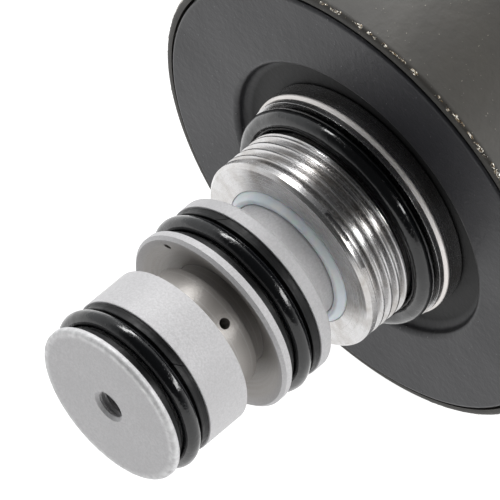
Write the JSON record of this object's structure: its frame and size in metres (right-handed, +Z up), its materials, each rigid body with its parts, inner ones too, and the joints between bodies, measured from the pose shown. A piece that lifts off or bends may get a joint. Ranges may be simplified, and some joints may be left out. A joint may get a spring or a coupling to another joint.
{
  "type": "solenoid cartridge valve",
  "caption": "Screw-in hydraulic cartridge valve: sealed steel nose and flange, threaded adapter with collar, and a large round black solenoid coil with a nut and a plug socket.",
  "frame": {"origin": "on the valve axis, in the seat plane where the adapter's collar meets the manifold", "axes": "+X along the valve axis from the nose to the coil, +Z up, +Y out of the connector"},
  "size_m": [0.1327, 0.0973, 0.0726],
  "materials": {
    "valve_steel": "fine bead-blasted and lightly brushed steel",
    "adapter_steel": "bright turned steel",
    "seal_rubber": "glossy oiled nitrile rubber",
    "backup_ring_plastic": "hard black backup ring",
    "white_ptfe": "white PTFE",
    "magnet_iron": "turned soft iron",
    "bearing_bronze": "plain bearing bronze",
    "tube_stainless": "drawn stainless steel",
    "hardened_steel": "hardened and ground steel",
    "spring_wire": "oil-tempered spring wire",
    "black_paint": "satin black paint",
    "coil_paint": "semi-gloss black paint, slightly uneven",
    "bobbin_nylon": "natural glass-filled nylon",
    "winding_copper": "enamelled copper wire",
    "black_nylon": "moulded black nylon",
    "zinc_screw": "zinc plated",
    "tinned_brass": "tinned brass blade"
  },
  "bodies": {
    "cartridge": {"nose_plug": "valve_steel", "nose_o_ring": "seal_rubber", "nose_backup_ring_front": "backup_ring_plastic", "nose_backup_ring_rear": "backup_ring_plastic", "valve_sleeve": "valve_steel", "sleeve_o_ring": "seal_rubber", "sleeve_backup_ring_front": "backup_ring_plastic", "sleeve_backup_ring_rear": "backup_ring_plastic", "ptfe_seal_ring": "white_ptfe", "threaded_adapter": "adapter_steel", "adapter_o_ring": "seal_rubber", "pole_piece": "magnet_iron", "front_bearing": "bearing_bronze", "air_gap_shim": "bearing_bronze", "guide_tube": "tube_stainless", "end_plug": "tube_stainless", "rear_bearing": "bearing_bronze", "end_plug_o_ring": "seal_rubber", "override_o_ring": "seal_rubber", "spring_shim": "tube_stainless", "return_spring": "spring_wire", "override_spring": "spring_wire"},
    "spool": {"spool": "hardened_steel"},
    "plunger": {"armature": "magnet_iron", "push_pin": "tube_stainless"},
    "override": {"override_pin": "tube_stainless"},
    "coil": {"front_plate": "black_paint", "coil_front_seal": "seal_rubber", "coil_can": "coil_paint", "coil_bobbin": "bobbin_nylon", "copper_winding": "winding_copper", "coil_moulding": "black_nylon", "connector_gasket": "seal_rubber", "connector_socket": "black_nylon", "connector_screws": "zinc_screw", "terminal_pins": "tinned_brass"},
    "nut": {"coil_nut": "black_nylon", "nut_o_ring": "seal_rubber"}
  },
  "joints": [
    {"name": "armature_slide", "type": "slide", "parent": "cartridge", "child": "plunger", "axis": [-1, 0, 0], "range_m": [0, 0.0025], "stiffness_N_per_m": 4000, "springref_m": -0.003, "deforming": ["return_spring"]},
    {"name": "spool_slide", "type": "slide", "parent": "cartridge", "child": "spool", "axis": [-1, 0, 0], "range_m": [0, 0.0025]},
    {"name": "override_push", "type": "slide", "parent": "cartridge", "child": "override", "axis": [-1, 0, 0], "range_m": [0, 0.0019], "stiffness_N_per_m": 600, "springref_m": -0.002, "deforming": ["override_spring"]},
    {"name": "coil_swivel", "type": "hinge", "parent": "cartridge", "child": "coil", "pos_m": [0.035, 0, 0], "axis": [1, 0, 0], "continuous": true},
    {"name": "nut_spin", "type": "hinge", "parent": "cartridge", "child": "nut", "pos_m": [0.073, 0, 0], "axis": [1, 0, 0], "continuous": true}
  ],
  "couplings": [
    {"joint": "spool_slide", "follows": "armature_slide", "ratio": 1}
  ]
}
